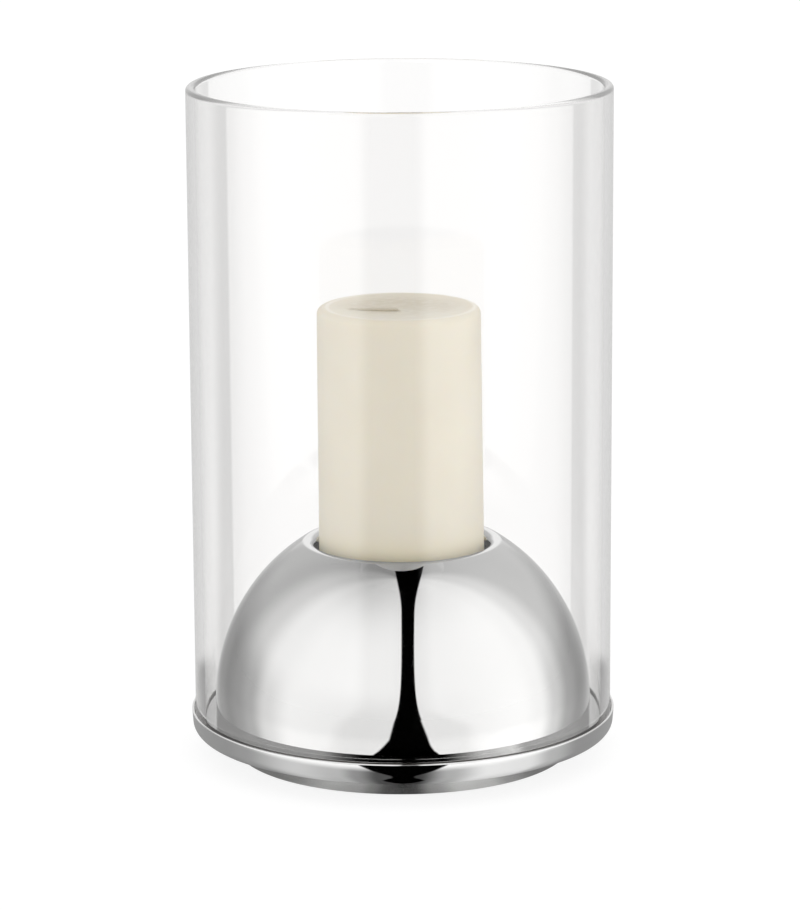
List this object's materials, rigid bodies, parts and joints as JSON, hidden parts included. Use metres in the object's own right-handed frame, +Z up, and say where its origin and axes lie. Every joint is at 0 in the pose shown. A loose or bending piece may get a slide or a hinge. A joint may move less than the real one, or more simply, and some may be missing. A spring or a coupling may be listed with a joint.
{
  "type": "candle lantern",
  "caption": "Candle lantern: an open-topped glass cylinder stands in the groove of a polished steel tray, round a steel dome with a candle in its cup.",
  "frame": {"origin": "on the lantern's axis, in the plane of the table it stands on", "axes": "+Z up along the axis of the glass; -Y towards the viewer; the wick's tail lies along -X"},
  "size_m": [0.1799, 0.18, 0.284],
  "materials": {
    "clear_glass": "clear, fire-polished rims",
    "polished_steel": "mirror-polished stainless steel",
    "satin_steel": "satin stainless steel, turned lay",
    "drawn_steel": "drawn steel, semi-bright",
    "zinc_steel": "zinc-plated fastener steel",
    "seat_silicone": "translucent grey silicone",
    "black_felt": "wool felt",
    "ivory_wax": "smooth ivory wax",
    "waxed_cotton": "waxed braided cotton",
    "tinplate": "tinplate"
  },
  "bodies": {
    "base": {"tray": "polished_steel", "dome_shell": "polished_steel", "candle_cup": "drawn_steel", "tie_stud": "zinc_steel", "tie_washer": "zinc_steel", "tie_nut": "zinc_steel", "foot_pan": "satin_steel", "base_cover": "drawn_steel", "base_felt": "black_felt", "glass_seat_ring": "seat_silicone"},
    "glass": {"glass_cylinder": "clear_glass"},
    "candle": {"candle_body": "ivory_wax", "candle_wick": "waxed_cotton", "wick_tab": "tinplate"}
  },
  "joints": [
    {"name": "glass_lift", "type": "slide", "parent": "base", "child": "glass", "axis": [0, 0, 1], "range_m": [0, 0.185]},
    {"name": "candle_lift", "type": "slide", "parent": "base", "child": "candle", "axis": [0, 0, 1], "range_m": [0, 0.25]}
  ]
}
